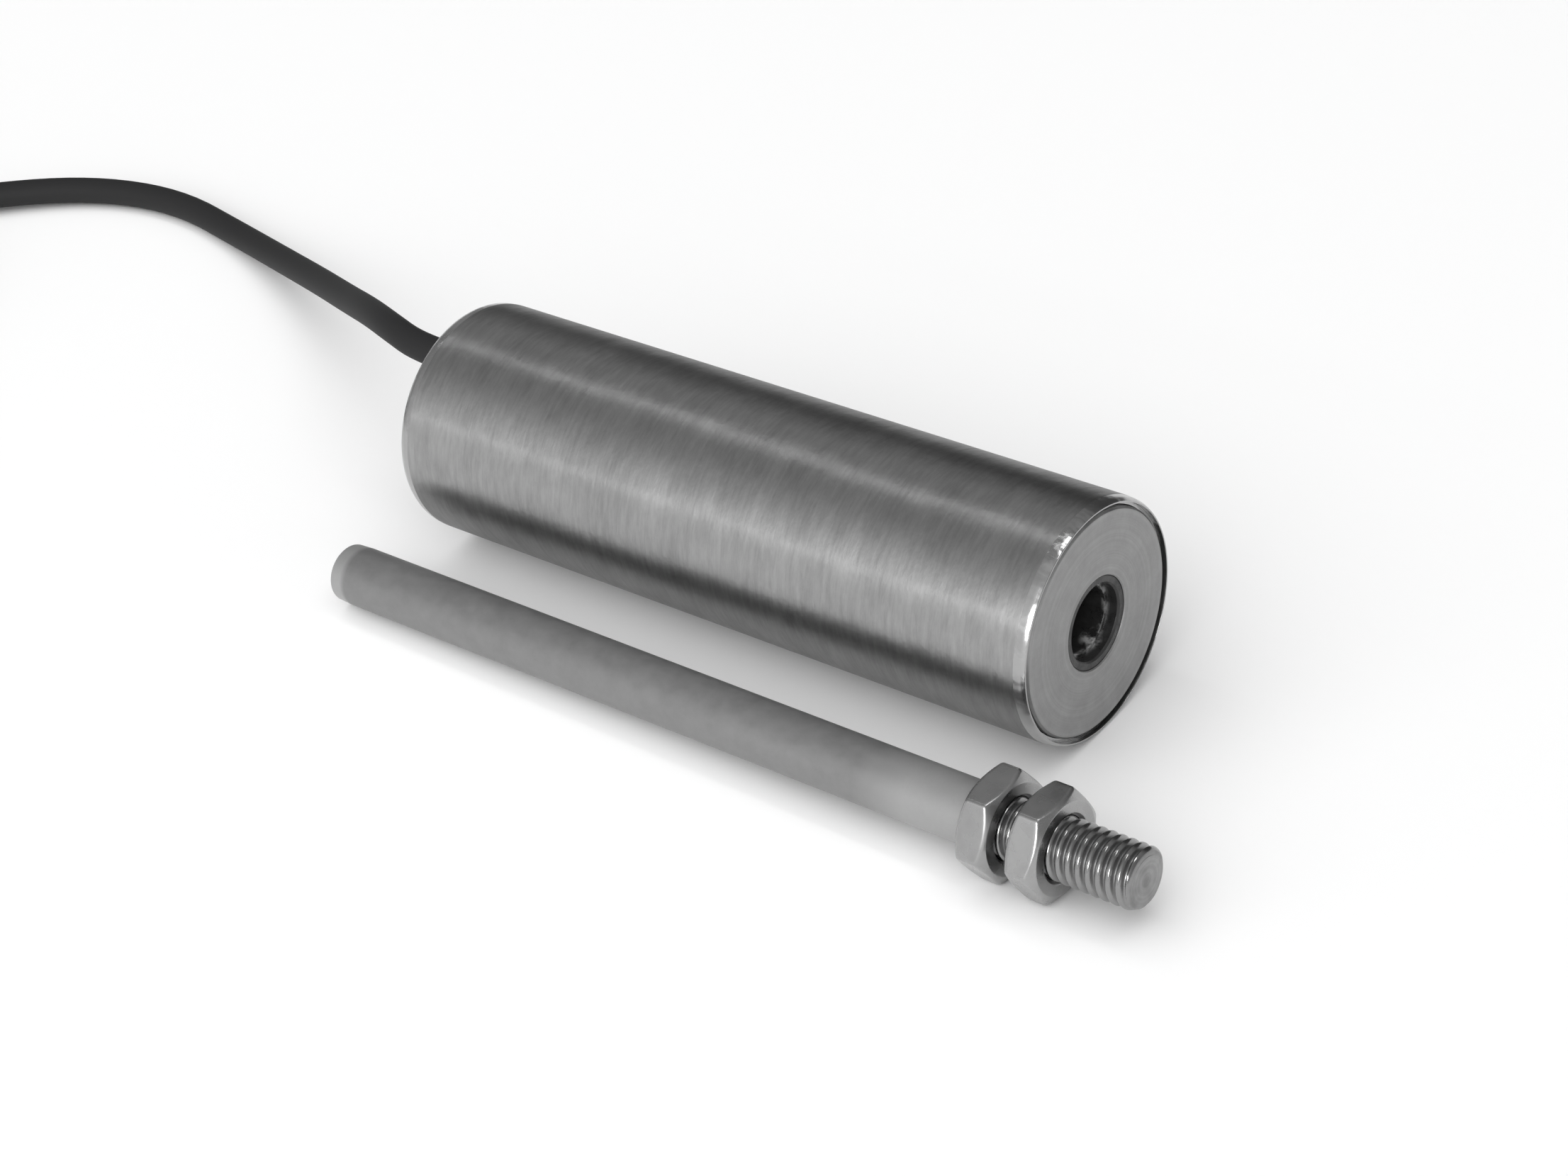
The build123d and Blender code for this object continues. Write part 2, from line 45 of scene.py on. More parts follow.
def linear(hex_colour):
    """An sRGB hex value as linear red, green, blue and alpha: each channel c is c / 12.92 when
    it is dark, and ((c + 0.055) / 1.055) ** 2.4 otherwise."""
    channels = np.array([int(hex_colour[place : place + 2], 16) for place in (1, 3, 5)]) / 255
    values = np.where(channels < 0.04045, channels / 12.92, ((channels + 0.055) / 1.055) ** 2.4)
    return (*values.tolist(), 1.0)


def add_node(tree, kind, inputs=None, **settings):
    """Adds a node: settings are its properties, and inputs gives each socket a value or the
    output that feeds it."""
    node = tree.nodes.new(kind)
    for name, value in settings.items():
        setattr(node, name, value)
    for socket, value in (inputs or {}).items():
        if isinstance(value, bpy.types.NodeSocket):
            tree.links.new(value, node.inputs[socket])
        else:
            node.inputs[socket].default_value = value
    return node


def new_finish(name, **numbers):
    """A material, its node tree and its shader, with the shader's plain numbers and colours set."""
    finish = bpy.data.materials.new(name)
    finish.use_nodes = True
    shader = finish.node_tree.nodes["Principled BSDF"]
    for socket, value in numbers.items():
        shader.inputs[socket.replace("_", " ")].default_value = value
    return finish, finish.node_tree, shader


def grid_piece(name, points, ring_rows, finish, body):
    """A piece from a grid of points in millimetres: quads join neighbours, columns close into
    rings, and rows too if ring_rows. Doubled points are merged. Faces point out, because they
    are turned round when the volume that they enclose, a sum of corner products, is negative."""
    rows, columns = points.shape[:2]
    row = np.arange(rows if ring_rows else rows - 1)[:, None]
    column = np.arange(columns)[None, :]
    next_row = (row + 1) % rows
    next_column = (column + 1) % columns
    corners = [
        row * columns + column,
        row * columns + next_column,
        next_row * columns + next_column,
        next_row * columns + column,
    ]
    faces = np.stack(corners, axis=-1).reshape(-1, 4)
    vertices = points.reshape(-1, 3) * mm
    one, two, three, four = (vertices[faces[:, i]] for i in range(4))
    enclosed = np.sum(np.cross(three - one, four - two) * (one + two + three + four))
    if enclosed < 0:
        faces = faces[:, ::-1]
    merge_distance, sharp_angle = 1e-7, radians(28)
    mesh = bpy.data.meshes.new(name)
    mesh.from_pydata(vertices, [], faces)
    shell = bmesh.new()
    shell.from_mesh(mesh)
    bmesh.ops.remove_doubles(shell, verts=shell.verts, dist=merge_distance)
    shell.to_mesh(mesh)
    shell.free()
    mesh.shade_smooth()
    mesh.set_sharp_from_angle(angle=sharp_angle)
    mesh.materials.append(finish)
    piece = bpy.data.objects.new(name, mesh)
    bpy.context.scene.collection.objects.link(piece)
    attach(piece, body)
    return piece


def rounded(corners):
    """An outline in which each corner (along, radius, rounding) becomes six points of its arc:
    from rounding before the corner to rounding after it, on the quadratic curve that the
    corner pulls, (1 - t)^2 start + 2 t (1 - t) corner + t^2 end. One more point stands on each
    side, 1.2 roundings from the corner, so that the wall between two arcs stays straight in its
    shading too."""
    corners = np.array(corners, float)
    place, reach = corners[..., :2], corners[..., 2:]
    before = np.roll(place, 1, axis=0) - place
    after = np.roll(place, -1, axis=0) - place
    before /= np.maximum(np.linalg.norm(before, axis=-1, keepdims=True), 1e-9)
    after /= np.maximum(np.linalg.norm(after, axis=-1, keepdims=True), 1e-9)
    share = np.linspace(0, 1, 6).reshape(6, *[1] * (corners.ndim - 1))
    start = (place + before * reach)[:, None]
    end = (place + after * reach)[:, None]
    arc = (1 - share) ** 2 * start + 2 * share * (1 - share) * place[:, None] + share**2 * end
    first = (place + before * reach * 1.2)[:, None]
    last = (place + after * reach * 1.2)[:, None]
    return np.concatenate([first, arc, last], axis=1).reshape(-1, *place.shape[1:])


def turned(outline, origin, direction, angle):
    """Points of a surface around an axis: origin + along * direction + radius * (cos a * across
    + sin a * over), for every outline point (along, radius) and every angle a. The outline may
    differ from angle to angle."""
    direction = np.array(direction) / np.linalg.norm(direction)
    across = np.cross((0.0, 0.0, 1.0), direction)
    across /= np.linalg.norm(across)
    over = np.cross(direction, across)
    outline = outline.reshape(len(outline), -1, 2)
    along, radius = outline[..., :1], outline[..., 1:]
    angle = angle[None, :, None]
    spoke = np.cos(angle) * across + np.sin(angle) * over
    return np.array(origin) + along * direction + radius * spoke


def full_turn(steps):
    """The angles of a full turn in equal steps."""
    return 2 * np.pi * np.arange(steps) / steps


brushed_steel, tree, shader = new_finish(
    "stainless_steel_belt_brushed",
    Metallic=1.0,
    Specular_Tint=(0.58, 0.58, 0.58, 1.0),
    Anisotropic=0.75,
    Anisotropic_Rotation=0.25,
)
place = add_node(tree, "ShaderNodeTexCoord").outputs["Object"]
# Scratches 0.15 mm apart along the axis and some 9 mm long around it
scratch_space = add_node(
    tree, "ShaderNodeMapping", {"Vector": place, "Scale": (6700.0, 110.0, 110.0)}
)
scratches = add_node(
    tree,
    "ShaderNodeTexNoise",
    {"Vector": scratch_space.outputs[0], "Scale": 1.0, "Detail": 3.0, "Roughness": 0.6},
)
# Heavier scratches 0.55 mm apart, drawn coarser than the belt leaves them so that they show
band_space = add_node(
    tree, "ShaderNodeMapping", {"Vector": place, "Scale": (1800.0, 230.0, 230.0)}
)
bands = add_node(
    tree,
    "ShaderNodeTexNoise",
    {"Vector": band_space.outputs[0], "Scale": 1.0, "Detail": 5.0, "Roughness": 0.7},
)
# Clouds 5 by 8 mm where the belt pressed more or less
cloud_space = add_node(
    tree, "ShaderNodeMapping", {"Vector": place, "Scale": (200.0, 125.0, 125.0)}
)
clouds = add_node(
    tree,
    "ShaderNodeTexNoise",
    {"Vector": cloud_space.outputs[0], "Scale": 1.0, "Detail": 4.0, "Roughness": 0.6},
)
belt_marks = add_node(
    tree,
    "ShaderNodeMath",
    {0: bands.outputs[0], 1: 1.2, 2: clouds.outputs[0]},
    operation="MULTIPLY_ADD",
)
mark_share = add_node(
    tree, "ShaderNodeMapRange", {"Value": belt_marks.outputs[0], "From Min": 0.75, "From Max": 1.45}
)
steel_shade = add_node(
    tree,
    "ShaderNodeMix",
    {0: mark_share.outputs[0], 6: linear("#8F8F8F"), 7: linear("#A9A9A9")},
    data_type="RGBA",
)
tree.links.new(steel_shade.outputs[2], shader.inputs["Base Color"])
roughness = add_node(
    tree,
    "ShaderNodeMapRange",
    {
        "Value": scratches.outputs[0],
        "From Min": 0.3,
        "From Max": 0.7,
        "To Min": 0.29,
        "To Max": 0.4,
    },
)
tree.links.new(roughness.outputs[0], shader.inputs["Roughness"])
# Slow waves of the drawn wall, some 12 mm long, and ripples 1.5 by 3.5 mm that break the highlights
waves = add_node(
    tree, "ShaderNodeTexNoise", {"Vector": place, "Scale": 85.0, "Detail": 2.0, "Roughness": 0.5}
)
wave_bump = add_node(
    tree, "ShaderNodeBump", {"Strength": 1.0, "Distance": 0.00022, "Height": waves.outputs[0]}
)
ripple_space = add_node(
    tree, "ShaderNodeMapping", {"Vector": place, "Scale": (670.0, 290.0, 290.0)}
)
ripples = add_node(
    tree,
    "ShaderNodeTexNoise",
    {"Vector": ripple_space.outputs[0], "Scale": 1.0, "Detail": 3.0, "Roughness": 0.6},
)
ripple_bump = add_node(
    tree,
    "ShaderNodeBump",
    {
        "Strength": 1.0,
        "Distance": 0.00006,
        "Height": ripples.outputs[0],
        "Normal": wave_bump.outputs[0],
    },
)
scratch_bump = add_node(
    tree,
    "ShaderNodeBump",
    {
        "Strength": 0.3,
        "Distance": 0.00001,
        "Height": scratches.outputs[0],
        "Normal": ripple_bump.outputs[0],
    },
)
tree.links.new(scratch_bump.outputs[0], shader.inputs["Normal"])
around = add_node(tree, "ShaderNodeTangent", direction_type="RADIAL", axis="X")
tree.links.new(around.outputs[0], shader.inputs["Tangent"])

# The rims are buffed by hand after the discs are pressed in: smoother, and slightly hammered
buffed_rim, tree, shader = new_finish(
    "stainless_steel_hand_buffed",
    Base_Color=linear("#ABABAB"),
    Metallic=1.0,
    Roughness=0.22,
)
place = add_node(tree, "ShaderNodeTexCoord").outputs["Object"]
# Flats and dents some 2 mm across, deep only where the front rim was tapped home, on its top
hammered = add_node(
    tree, "ShaderNodeTexNoise", {"Vector": place, "Scale": 480.0, "Detail": 1.5, "Roughness": 0.5}
)
from_taps = add_node(
    tree,
    "ShaderNodeVectorMath",
    {0: place, 1: (0.0503, -0.0047, 0.0149)},
    operation="DISTANCE",
)
tap_depth = add_node(
    tree,
    "ShaderNodeMapRange",
    {
        "Value": from_taps.outputs["Value"],
        "From Min": 0.002,
        "From Max": 0.0045,
        "To Min": 1.0,
        "To Max": 0.3,
    },
)
dents = add_node(
    tree,
    "ShaderNodeMath",
    {0: hammered.outputs[0], 1: tap_depth.outputs[0]},
    operation="MULTIPLY",
)
hammered_bump = add_node(
    tree, "ShaderNodeBump", {"Strength": 1.0, "Distance": 0.00042, "Height": dents.outputs[0]}
)
tree.links.new(hammered_bump.outputs[0], shader.inputs["Normal"])

# Corners of the wall's section in millimetres: along the axis, radius, rounding
tube_outline = rounded(
    [
        (-50.8, 15.45, 0.11),
        (-50.2, 15.76, 0.28),
        (-49.2, 15.875, 0.45),
        (49.2, 15.875, 0.45),
        (50.2, 15.76, 0.28),
        (50.8, 15.45, 0.11),
        (50.8, 15.25, 0.05),
        (49.9, 15.25, 0.05),
        (49.9, 14.775, 0.08),
        (-49.9, 14.775, 0.08),
        (-49.9, 15.25, 0.05),
        (-50.8, 15.25, 0.05),
    ]
)
housing_centre = (0.0, 0.0, 0.0)
housing_axis = (1.0, 0.0, 0.0)
tube = grid_piece(
    "brushed_tube",
    turned(tube_outline, housing_centre, housing_axis, full_turn(288)),
    True,
    brushed_steel,
    "housing",
)
tube.data.materials.append(buffed_rim)
face_centres = np.empty(3 * len(tube.data.polygons))
tube.data.polygons.foreach_get("center", face_centres)
rim_start = 0.0493
on_rim = np.abs(face_centres[::3]) > rim_start
tube.data.polygons.foreach_set("material_index", on_rim.astype(np.int32))
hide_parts("housing_tube")

# End discs: faced on a lathe from stainless bar, so faint rings run around their centres. The
# front one carries the liner's hole and the rear one the cable's hole.
faced_steel, tree, shader = new_finish("stainless_steel_faced_on_a_lathe", Metallic=1.0)
place = add_node(tree, "ShaderNodeTexCoord").outputs["Object"]
flat = add_node(tree, "ShaderNodeVectorMath", {0: place, 1: (0.0, 1.0, 1.0)}, operation="MULTIPLY")
radius = add_node(tree, "ShaderNodeVectorMath", {0: flat.outputs[0]}, operation="LENGTH")
# Rings 0.6 mm apart, drawn coarser than a fine facing cut so that they show
ring_place = add_node(tree, "ShaderNodeCombineXYZ", {"X": radius.outputs["Value"]})
rings = add_node(
    tree,
    "ShaderNodeTexNoise",
    {"Vector": ring_place.outputs[0], "Scale": 1600.0, "Detail": 3.0, "Roughness": 0.65},
)
ring_bump = add_node(
    tree, "ShaderNodeBump", {"Strength": 0.5, "Distance": 0.00002, "Height": rings.outputs[0]}
)
tree.links.new(ring_bump.outputs[0], shader.inputs["Normal"])
# Scuffs from handling, 2 to 4 mm across
scuffs = add_node(
    tree, "ShaderNodeTexNoise", {"Vector": place, "Scale": 300.0, "Detail": 6.0, "Roughness": 0.7}
)
both = add_node(
    tree,
    "ShaderNodeMath",
    {0: rings.outputs[0], 1: 0.7, 2: scuffs.outputs[0]},
    operation="MULTIPLY_ADD",
)
scuff_share = add_node(
    tree, "ShaderNodeMapRange", {"Value": both.outputs[0], "From Min": 0.6, "From Max": 1.1}
)
disc_shade = add_node(
    tree,
    "ShaderNodeMix",
    {0: scuff_share.outputs[0], 6: linear("#888888"), 7: linear("#A2A2A2")},
    data_type="RGBA",
)
tree.links.new(disc_shade.outputs[2], shader.inputs["Base Color"])
disc_roughness = add_node(
    tree,
    "ShaderNodeMapRange",
    {"Value": scuffs.outputs[0], "From Min": 0.3, "From Max": 0.7, "To Min": 0.42, "To Max": 0.55},
)
tree.links.new(disc_roughness.outputs[0], shader.inputs["Roughness"])

# From the outer edge, chamfered by 0.3 mm, to the hole with the seal's pocket behind it
front_disc_outline = rounded(
    [
        (47.65, 14.725, 0.02),
        (50.35, 14.725, 0.03),
        (50.65, 14.425, 0.05),
        (50.65, 6.25, 0.03),
        (50.5, 6.1, 0.03),
        (49.35, 6.1, 0.02),
        (49.35, 7.75, 0.02),
        (47.65, 7.75, 0.02),
    ]
)
front_disc = grid_piece(
    "faced_front_disc",
    turned(front_disc_outline, housing_centre, housing_axis, full_turn(192)),
    True,
    faced_steel,
    "housing",
)
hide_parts("front_end_disc")
nodes["rear_end_disc"].data.materials.clear()
nodes["rear_end_disc"].data.materials.append(faced_steel)

# Bore liner: black glossy tube of moulded plastic, scuffed and dusty where the core runs in and
# out, with a painted highlight on the edge of its step. Its cap is of the same plastic.
liner_plastic, tree, shader = new_finish("black_acetal_liner")
place = add_node(tree, "ShaderNodeTexCoord").outputs["Object"]
# Smears and dust, 1 to 2 mm across
smears = add_node(
    tree, "ShaderNodeTexNoise", {"Vector": place, "Scale": 700.0, "Detail": 5.0, "Roughness": 0.65}
)
smear_roughness = add_node(
    tree,
    "ShaderNodeMapRange",
    {"Value": smears.outputs[0], "From Min": 0.35, "From Max": 0.65, "To Min": 0.25, "To Max": 0.6},
)
tree.links.new(smear_roughness.outputs[0], shader.inputs["Roughness"])
smear_bump = add_node(
    tree, "ShaderNodeBump", {"Strength": 0.4, "Distance": 0.0001, "Height": smears.outputs[0]}
)
tree.links.new(smear_bump.outputs[0], shader.inputs["Normal"])
# A painted highlight, a lighter ring 0.3 mm wide on the step's edge, and wear, a spot 1.5 mm
# across on the bore's floor behind it, where the core's tip rubs
flat = add_node(tree, "ShaderNodeVectorMath", {0: place, 1: (0.0, 1.0, 1.0)}, operation="MULTIPLY")
radius = add_node(tree, "ShaderNodeVectorMath", {0: flat.outputs[0]}, operation="LENGTH")
lengthwise = add_node(tree, "ShaderNodeSeparateXYZ", {0: place})
section_place = add_node(
    tree,
    "ShaderNodeCombineXYZ",
    {"X": lengthwise.outputs["X"], "Y": radius.outputs["Value"]},
)
from_edge = add_node(
    tree,
    "ShaderNodeVectorMath",
    {0: section_place.outputs[0], 1: (0.0488, 0.00455, 0.0)},
    operation="DISTANCE",
)
# Painted highlight: the step's edge is coloured lighter
edge_highlight = add_node(
    tree,
    "ShaderNodeMapRange",
    {
        "Value": from_edge.outputs["Value"],
        "From Min": 0.00015,
        "From Max": 0.0006,
        "To Min": 0.6,
        "To Max": 0.0,
    },
)
from_spot = add_node(
    tree,
    "ShaderNodeVectorMath",
    {0: place, 1: (0.0482, 0.0015, -0.0042)},
    operation="DISTANCE",
)
spot_wear = add_node(
    tree,
    "ShaderNodeMapRange",
    {
        "Value": from_spot.outputs["Value"],
        "From Min": 0.0005,
        "From Max": 0.0016,
        "To Min": 1.0,
        "To Max": 0.0,
    },
)
highlight_and_wear = add_node(
    tree, "ShaderNodeMath", {0: edge_highlight.outputs[0], 1: spot_wear.outputs[0]}, operation="MAXIMUM"
)
patchy = add_node(
    tree,
    "ShaderNodeMapRange",
    {"Value": smears.outputs[0], "From Min": 0.42, "From Max": 0.58},
)
highlight_and_wear_share = add_node(
    tree, "ShaderNodeMath", {0: highlight_and_wear.outputs[0], 1: patchy.outputs[0]}, operation="MULTIPLY"
)
# Black plastic, lighter at the painted highlight on the step's edge and at the worn spot
liner_shade = add_node(
    tree,
    "ShaderNodeMix",
    {0: highlight_and_wear_share.outputs[0], 6: linear("#2A2A2A"), 7: linear("#B4B4B4")},
    data_type="RGBA",
)
tree.links.new(liner_shade.outputs[2], shader.inputs["Base Color"])

# The mouth is 10 mm wide and ends at a step, behind which the bore is 8.8 mm wide
liner_outline = rounded(
    [
        (-43.55, 6.05, 0.05),
        (50.45, 6.05, 0.08),
        (50.45, 5.25, 0.04),
        (50.2, 5.0, 0.05),
        (48.85, 5.0, 0.05),
        (48.85, 4.4, 0.12),
        (-43.55, 4.4, 0.05),
    ]
)
liner = grid_piece(
    "black_liner",
    turned(liner_outline, housing_centre, housing_axis, full_turn(128)),
    True,
    liner_plastic,
    "housing",
)
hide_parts("bore_liner")
nodes["bore_end_cap"].data.materials.clear()
nodes["bore_end_cap"].data.materials.append(liner_plastic)

# Cable: round black jacket of polyurethane, extruded, so it is smooth and half matt. It leaves the
# back of the housing, lies on the table, and the rest of it is wound into a tied coil.
jacket, tree, shader = new_finish(
    "black_polyurethane_jacket",
    Base_Color=linear("#171718"),
    Roughness=0.75,
)
place = add_node(tree, "ShaderNodeTexCoord").outputs["Object"]
grain = add_node(
    tree, "ShaderNodeTexNoise", {"Vector": place, "Scale": 2500.0, "Detail": 2.0, "Roughness": 0.5}
)
grain_bump = add_node(
    tree, "ShaderNodeBump", {"Strength": 0.25, "Distance": 0.00003, "Height": grain.outputs[0]}
)
tree.links.new(grain_bump.outputs[0], shader.inputs["Normal"])

# From the grommet down to the table, then round to the coil, in millimetres
cable_route = [
    (-54.15, 0.0, 8.274),
    (-60.2, 0.0, 8.274),
    (-67.5, 2.3, 8.1),
    (-77.5, 7.5, 4.9),
    (-90.0, 14.5, -0.5),
    (-104.0, 21.7, -5.5),
    (-120.5, 29.0, -10.3),
    (-138.0, 35.4, -13.775),
    (-156.0, 38.9, -13.775),
    (-172.5, 35.6, -13.6),
    (-187.0, 25.8, -13.0),
    (-201.4, 12.4, -13.0),
]
# From the coil's outer turn down to the table, where the jacket is stripped
cable_tail = [
    (-210.9, -49.0, -8.8),
    (-202.4, -58.1, -10.4),
    (-190.0, -61.9, -12.8),
    (-177.3, -59.0, -13.775),
    (-167.1, -51.0, -13.775),
]
# The coil winds inwards for 3.25 turns, climbs a layer within the last quarter of them, and
# winds outwards for two more. It has sixteen points to the turn.
middle_x, middle_y, lower_layer = -196.8, -19.7, -12.925
cable_width, inward_turns = 4.2, 3.25
turn = np.arange(85) / 16
coil_angle = radians(132.94) + 2 * np.pi * turn
inwards = 30.9 - 4.25 * turn
outwards = 17.09 + 4.4 * (turn - inward_turns)
coil_radius = np.where(turn < inward_turns, inwards, outwards)
climb = np.clip((turn - (inward_turns - 0.25)) / 0.25, 0.0, 1.0)
coil_points = np.stack(
    [
        middle_x + coil_radius * np.cos(coil_angle),
        middle_y + coil_radius * np.sin(coil_angle),
        lower_layer + cable_width * climb,
    ],
    axis=-1,
)
cord_points = np.concatenate([cable_route, coil_points, cable_tail]) * mm
cord_curve = bpy.data.curves.new("cable_line", "CURVE")
cord_curve.dimensions = "3D"
cord_curve.bevel_depth = 0.0021
cord_curve.bevel_resolution = 6
cord_curve.resolution_u = 6
cord_curve.use_fill_caps = True
line = cord_curve.splines.new("NURBS")
line.points.add(len(cord_points) - 1)
line.points.foreach_set("co", np.insert(cord_points, 3, 1.0, axis=1).ravel())
line.order_u = 3
line.use_endpoint_u = True
line.use_smooth = True
cord_curve.materials.append(jacket)
cord = bpy.data.objects.new("cable_and_coil", cord_curve)
bpy.context.scene.collection.objects.link(cord)
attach(cord, "housing")
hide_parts("cable", "cable_coil", "cable_tail")
nodes["cable_entry"].data.materials.clear()
nodes["cable_entry"].data.materials.append(jacket)

# Core rod: centreless ground rod of soft magnetic alloy, annealed, which leaves it matt grey. Its
# far end is turned to a slight taper, brighter than the rest.
core_direction = (0.99949, -0.022158, 0.023011)
core_end = (-55.1, -25.1, -11.864)
annealed_alloy, tree, shader = new_finish("soft_magnetic_alloy_annealed", Metallic=0.85)
place = add_node(tree, "ShaderNodeTexCoord").outputs["Object"]
# Mottling 1 to 3 mm across from the anneal, over a grain of 0.3 mm
mottle = add_node(
    tree, "ShaderNodeTexNoise", {"Vector": place, "Scale": 450.0, "Detail": 6.0, "Roughness": 0.75}
)
grain_bump = add_node(
    tree, "ShaderNodeBump", {"Strength": 0.35, "Distance": 0.00004, "Height": mottle.outputs[0]}
)
tree.links.new(grain_bump.outputs[0], shader.inputs["Normal"])
rod_roughness = add_node(
    tree,
    "ShaderNodeMapRange",
    {"Value": mottle.outputs[0], "From Min": 0.3, "From Max": 0.7, "To Min": 0.52, "To Max": 0.68},
)
tree.links.new(rod_roughness.outputs[0], shader.inputs["Roughness"])
# The distance from the far end in metres: the taper is 2.3 mm long, and the last 14 mm before the
# nut, around the stud's shank, are coloured lighter too
from_end = add_node(
    tree,
    "ShaderNodeVectorMath",
    {0: place, 1: tuple(-mm * value for value in core_end)},
    operation="ADD",
)
along_rod = add_node(
    tree,
    "ShaderNodeVectorMath",
    {0: from_end.outputs[0], 1: core_direction},
    operation="DOT_PRODUCT",
)
taper_share = add_node(
    tree,
    "ShaderNodeMapRange",
    {
        "Value": along_rod.outputs["Value"],
        "From Min": 0.0018,
        "From Max": 0.0027,
        "To Min": 1.0,
        "To Max": 0.0,
    },
)
near_nut_share = add_node(
    tree,
    "ShaderNodeMapRange",
    {"Value": along_rod.outputs["Value"], "From Min": 0.09, "From Max": 0.098, "To Max": 0.8},
)
bright_share = add_node(
    tree,
    "ShaderNodeMath",
    {0: taper_share.outputs[0], 1: near_nut_share.outputs[0]},
    operation="MAXIMUM",
)
mottle_share = add_node(
    tree, "ShaderNodeMapRange", {"Value": mottle.outputs[0], "From Min": 0.3, "From Max": 0.7}
)
rod_shade = add_node(
    tree,
    "ShaderNodeMix",
    {0: mottle_share.outputs[0], 6: linear("#888888"), 7: linear("#969696")},
    data_type="RGBA",
)
bright_shade = add_node(
    tree,
    "ShaderNodeMix",
    {0: bright_share.outputs[0], 6: rod_shade.outputs[2], 7: linear("#AEAEAE")},
    data_type="RGBA",
)
tree.links.new(bright_shade.outputs[2], shader.inputs["Base Color"])
# Eight points for each of the three corners that are rounded, then the hole for the stud's shank
rod_corners = [(0.0, 3.945, 0.1), (2.3, 4.065, 0.03), (107.4, 4.065, 0.05), (107.4, 0.0, 0.0)]
rod_outline = np.concatenate(
    [
        [(0.0, 0.0)],
        rounded(rod_corners)[:24],
        [(107.4, 2.55), (95.3, 2.55), (95.3, 0.0)],
    ]
)
rod = grid_piece(
    "ground_rod",
    turned(rod_outline, core_end, core_direction, full_turn(96)),
    False,
    annealed_alloy,
    "core",
)
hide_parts("core_rod")

# Threaded stud and its nuts: polished stainless steel, the thread rolled, the nuts' corners
# tumbled round so that each one carries a bright line.
polished_steel, tree, shader = new_finish("polished_stainless_steel", Metallic=1.0)
place = add_node(tree, "ShaderNodeTexCoord").outputs["Object"]
# Stains and dents of tumbling, 2 to 3 mm across
tumbled = add_node(
    tree, "ShaderNodeTexNoise", {"Vector": place, "Scale": 400.0, "Detail": 2.0, "Roughness": 0.5}
)
tumbled_roughness = add_node(
    tree,
    "ShaderNodeMapRange",
    {"Value": tumbled.outputs[0], "From Min": 0.3, "From Max": 0.7, "To Min": 0.24, "To Max": 0.32},
)
tumbled_shade = add_node(
    tree,
    "ShaderNodeMix",
    {0: tumbled.outputs[0], 6: linear("#9A9A9A"), 7: linear("#AEAEAE")},
    data_type="RGBA",
)
# The stud is duller than the nuts. Its thread lies within 4 mm of the core's axis, and its end
# face, turned on a lathe, lies past 130.05 mm from the rod's far end.
from_end = add_node(
    tree,
    "ShaderNodeVectorMath",
    {0: place, 1: tuple(-mm * value for value in core_end)},
    operation="ADD",
)
along_stud = add_node(
    tree,
    "ShaderNodeVectorMath",
    {0: from_end.outputs[0], 1: core_direction},
    operation="DOT_PRODUCT",
)
face_share = add_node(
    tree,
    "ShaderNodeMapRange",
    {"Value": along_stud.outputs["Value"], "From Min": 0.13002, "From Max": 0.1301},
)
sideways = add_node(
    tree,
    "ShaderNodeVectorMath",
    {0: from_end.outputs[0], 1: core_direction},
    operation="CROSS_PRODUCT",
)
from_axis = add_node(
    tree, "ShaderNodeVectorMath", {0: sideways.outputs[0]}, operation="LENGTH"
)
nut_share = add_node(
    tree,
    "ShaderNodeMapRange",
    {"Value": from_axis.outputs["Value"], "From Min": 0.00398, "From Max": 0.00402},
)
# Rolling polishes the crests, 3.97 mm from the axis, and leaves the roots, at 3.32 mm, dull; the
# roots' darker colour is painted shade in the grooves
crest_share = add_node(
    tree,
    "ShaderNodeMapRange",
    {"Value": from_axis.outputs["Value"], "From Min": 0.0033, "From Max": 0.0038},
)
# The end's rounding, past 129.2 mm from the rod's far end, is nearly as bright
end_share = add_node(
    tree,
    "ShaderNodeMapRange",
    {
        "Value": along_stud.outputs["Value"],
        "From Min": 0.129,
        "From Max": 0.1294,
        "To Max": 0.85,
    },
)
polished_share = add_node(
    tree,
    "ShaderNodeMath",
    {0: crest_share.outputs[0], 1: end_share.outputs[0]},
    operation="MAXIMUM",
)
# Painted shade: the thread's roots are coloured darker than its crests
crest_and_painted_root_shade = add_node(
    tree,
    "ShaderNodeMix",
    {0: polished_share.outputs[0], 6: linear("#767676"), 7: linear("#929292")},
    data_type="RGBA",
)
crest_roughness = add_node(
    tree, "ShaderNodeMix", {0: polished_share.outputs[0], 2: 0.5, 3: 0.16}
)
thread_shade = add_node(
    tree,
    "ShaderNodeMix",
    {0: nut_share.outputs[0], 6: crest_and_painted_root_shade.outputs[2], 7: tumbled_shade.outputs[2]},
    data_type="RGBA",
)
# Rings 0.7 mm apart on the face, drawn coarser than the turning tool leaves them
ring_place = add_node(tree, "ShaderNodeCombineXYZ", {"X": from_axis.outputs["Value"]})
rings = add_node(
    tree,
    "ShaderNodeTexNoise",
    {"Vector": ring_place.outputs[0], "Scale": 1400.0, "Detail": 2.0, "Roughness": 0.6},
)
stained_rings = add_node(
    tree,
    "ShaderNodeMath",
    {0: rings.outputs[0], 1: 0.7, 2: tumbled.outputs[0]},
    operation="MULTIPLY_ADD",
)
ring_share = add_node(
    tree,
    "ShaderNodeMapRange",
    {"Value": stained_rings.outputs[0], "From Min": 0.65, "From Max": 1.05},
)
face_shade = add_node(
    tree,
    "ShaderNodeMix",
    {0: ring_share.outputs[0], 6: linear("#848484"), 7: linear("#A0A0A0")},
    data_type="RGBA",
)
stud_shade = add_node(
    tree,
    "ShaderNodeMix",
    {0: face_share.outputs[0], 6: thread_shade.outputs[2], 7: face_shade.outputs[2]},
    data_type="RGBA",
)
tree.links.new(stud_shade.outputs[2], shader.inputs["Base Color"])
